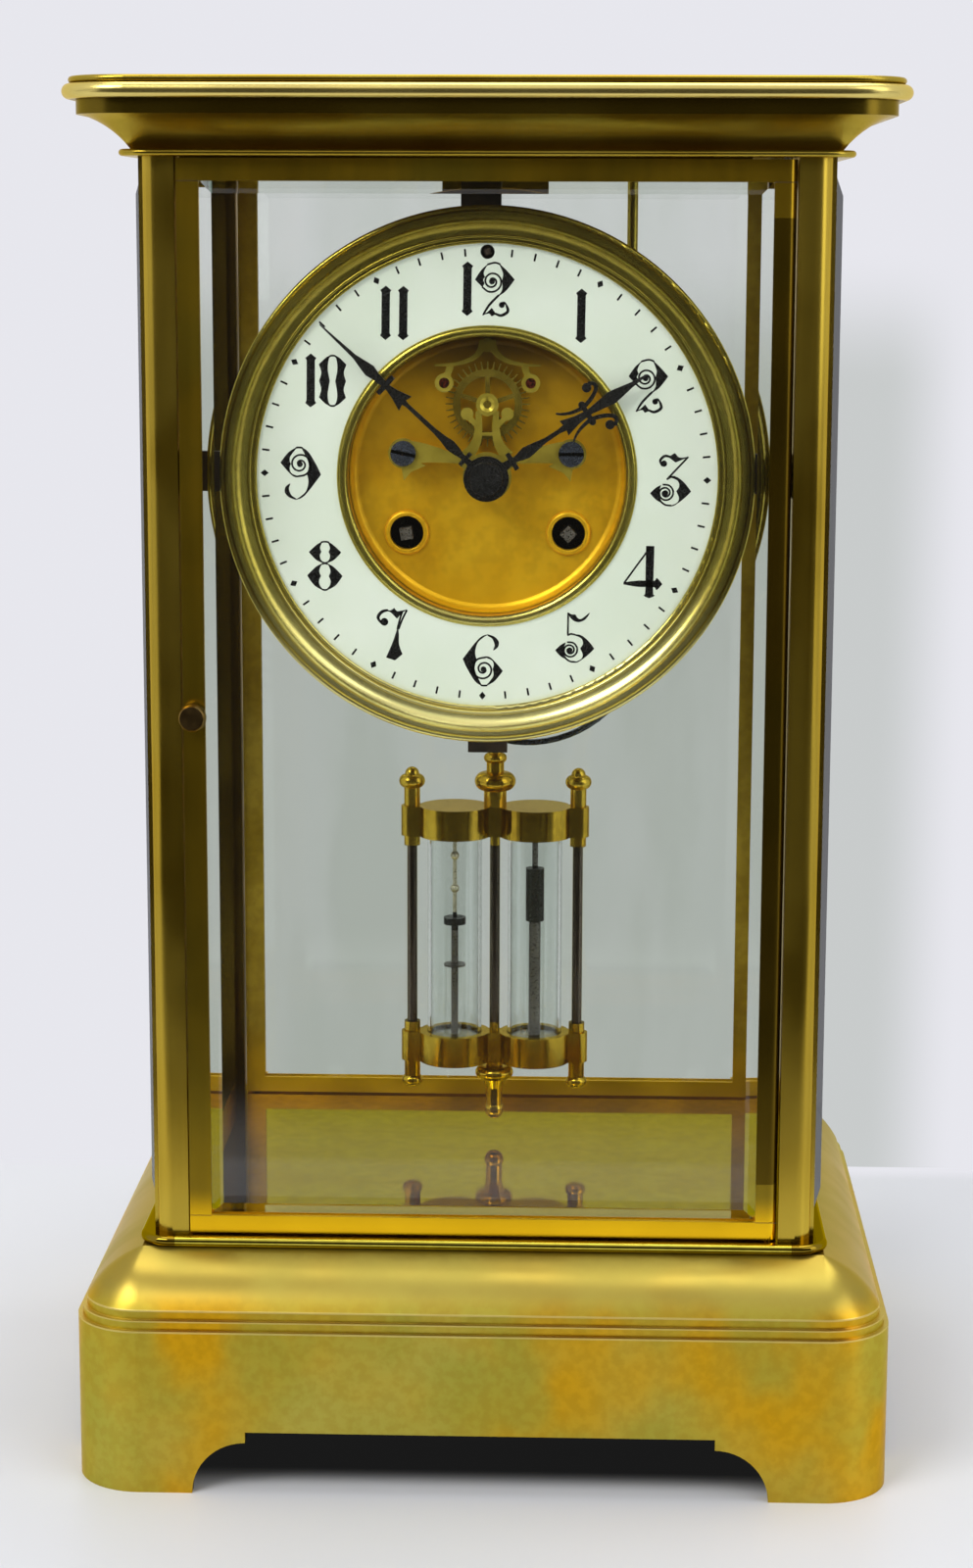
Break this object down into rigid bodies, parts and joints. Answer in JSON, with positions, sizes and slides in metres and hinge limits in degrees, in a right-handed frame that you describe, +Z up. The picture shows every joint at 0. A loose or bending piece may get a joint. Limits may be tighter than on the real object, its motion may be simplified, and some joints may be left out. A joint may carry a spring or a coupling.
{
  "type": "four-glass mantel clock",
  "caption": "Brass four-glass mantel clock with bevelled glass doors, enamel chapter ring, open escapement, glass-jar pendulum and coiled gong",
  "frame": {"origin": "centre of the base's footprint, on the surface that the feet stand on", "axes": "+Z up, the dial and the front door face -Y, +X to the right of someone who faces the dial"},
  "size_m": [0.1768, 0.152, 0.3],
  "materials": {
    "polished_brass": "polished, lightly mottled lacquer",
    "aged_brass": "satin, brown with age",
    "gilt_brass": "satin gilding",
    "steel": "bright turned",
    "blued_steel": "heat blued",
    "dark_iron": "dark brown, dull",
    "black_steel": "black, half gloss",
    "white_enamel": "glossy fired enamel",
    "clear_glass": "clear, bevelled",
    "red_stone": "polished stone"
  },
  "bodies": {
    "case": {"base_plinth": "polished_brass", "lower_plate": "polished_brass", "corner_posts": "aged_brass", "upper_plate": "aged_brass", "cornice": "aged_brass", "top_plate": "polished_brass", "tie_bolts": "steel", "side_frames": "aged_brass", "side_glasses": "clear_glass", "movement_ring": "dark_iron", "top_hanger": "dark_iron", "side_brackets": "dark_iron", "movement_screws": "blued_steel", "bezel": "aged_brass", "dial": "white_enamel", "dial_ring": "aged_brass", "dial_pan": "gilt_brass", "escapement_bridge": "gilt_brass", "bridge_screws": "blued_steel", "front_plate": "aged_brass", "back_plate": "aged_brass", "pillars": "polished_brass", "suspension_cock": "aged_brass", "suspension_spring": "steel", "gong": "blued_steel", "gong_stand": "aged_brass"},
    "front_door": {"front_door_frame": "aged_brass", "front_glass": "clear_glass", "front_knob": "polished_brass", "front_hinge_pins": "steel"},
    "rear_door": {"rear_door_frame": "aged_brass", "rear_glass": "clear_glass", "rear_knob": "polished_brass", "rear_hinge_pins": "steel"},
    "minute": {"centre_arbor": "gilt_brass", "minute_hand": "black_steel", "hand_nut": "black_steel"},
    "hour": {"hour_wheel": "gilt_brass", "hour_hand": "black_steel"},
    "motion_wheel": {"minute_wheel": "gilt_brass"},
    "intermediate": {"intermediate_wheel": "gilt_brass"},
    "third": {"third_wheel": "gilt_brass"},
    "escape": {"escape_wheel": "gilt_brass"},
    "going_drum": {"going_barrel": "aged_brass", "going_mainspring": "steel"},
    "going_arbor": {"going_winding_arbor": "steel"},
    "strike_drum": {"strike_barrel": "aged_brass", "strike_mainspring": "steel"},
    "strike_arbor": {"strike_winding_arbor": "steel"},
    "strike_pins": {"pin_wheel": "gilt_brass"},
    "regulator": {"rating_arbor": "steel"},
    "pallets": {"pallet_anchor": "gilt_brass", "pallet_stones": "red_stone", "crutch": "aged_brass"},
    "pendulum": {"pendulum_rod": "polished_brass", "pendulum_bars": "polished_brass", "pendulum_side_rods": "aged_brass", "pendulum_jars": "clear_glass", "jar_columns": "steel"},
    "striker": {"hammer": "steel"}
  },
  "joints": [
    {"name": "front_door_hinge", "type": "hinge", "parent": "case", "child": "front_door", "pos_m": [0.0619, -0.0578, 0.1687], "axis": [0, 0, 1], "range_deg": [0, 90]},
    {"name": "rear_door_hinge", "type": "hinge", "parent": "case", "child": "rear_door", "pos_m": [-0.0619, 0.0578, 0.1687], "axis": [0, 0, 1], "range_deg": [0, 90]},
    {"name": "minute_turn", "type": "hinge", "parent": "case", "child": "minute", "pos_m": [0, 0, 0.2176], "axis": [0, 1, 0], "continuous": true},
    {"name": "hour_turn", "type": "hinge", "parent": "case", "child": "hour", "pos_m": [0, 0, 0.2176], "axis": [0, 1, 0], "continuous": true},
    {"name": "motion_wheel_turn", "type": "hinge", "parent": "case", "child": "motion_wheel", "pos_m": [0, 0, 0.2071], "axis": [0, 1, 0], "continuous": true},
    {"name": "intermediate_turn", "type": "hinge", "parent": "case", "child": "intermediate", "pos_m": [0.0145, 0, 0.2236], "axis": [0, 1, 0], "continuous": true},
    {"name": "third_turn", "type": "hinge", "parent": "case", "child": "third", "pos_m": [-0.009, 0, 0.2256], "axis": [0, 1, 0], "continuous": true},
    {"name": "escape_turn", "type": "hinge", "parent": "case", "child": "escape", "pos_m": [0, 0, 0.2329], "axis": [0, 1, 0], "continuous": true},
    {"name": "going_drum_turn", "type": "hinge", "parent": "case", "child": "going_drum", "pos_m": [0.0174, 0, 0.2052], "axis": [0, 1, 0], "continuous": true},
    {"name": "going_wind", "type": "hinge", "parent": "case", "child": "going_arbor", "pos_m": [0.0174, 0, 0.2052], "axis": [0, 1, 0], "continuous": true},
    {"name": "strike_drum_turn", "type": "hinge", "parent": "case", "child": "strike_drum", "pos_m": [-0.0174, 0, 0.2052], "axis": [0, 1, 0], "continuous": true},
    {"name": "strike_wind", "type": "hinge", "parent": "case", "child": "strike_arbor", "pos_m": [-0.0174, 0, 0.2052], "axis": [0, 1, 0], "continuous": true},
    {"name": "strike_pins_turn", "type": "hinge", "parent": "case", "child": "strike_pins", "pos_m": [-0.0206, 0, 0.22355], "axis": [0, 1, 0], "continuous": true},
    {"name": "regulator_turn", "type": "hinge", "parent": "case", "child": "regulator", "pos_m": [0, 0, 0.2649], "axis": [0, 1, 0], "continuous": true},
    {"name": "pendulum_swing", "type": "hinge", "parent": "case", "child": "pendulum", "pos_m": [0, 0.02, 0.2454], "axis": [0, 1, 0], "range_deg": [-2.5, 2.5]},
    {"name": "pallet_rock", "type": "hinge", "parent": "case", "child": "pallets", "pos_m": [0, 0, 0.2454], "axis": [0, 1, 0], "range_deg": [-2.5, 2.5]},
    {"name": "hammer_lift", "type": "hinge", "parent": "case", "child": "striker", "pos_m": [-0.031, 0, 0.2296], "axis": [0, 1, 0], "range_deg": [0, 12]}
  ],
  "couplings": [
    {"joint": "hour_turn", "follows": "minute_turn", "ratio": 0.083333},
    {"joint": "motion_wheel_turn", "follows": "minute_turn", "ratio": -0.33333},
    {"joint": "intermediate_turn", "follows": "minute_turn", "ratio": -0.11111},
    {"joint": "third_turn", "follows": "minute_turn", "ratio": -10},
    {"joint": "escape_turn", "follows": "minute_turn", "ratio": 120},
    {"joint": "going_drum_turn", "follows": "minute_turn", "ratio": 0.011905},
    {"joint": "strike_pins_turn", "follows": "strike_drum_turn", "ratio": -9.3333},
    {"joint": "pallet_rock", "follows": "pendulum_swing", "ratio": 1}
  ]
}
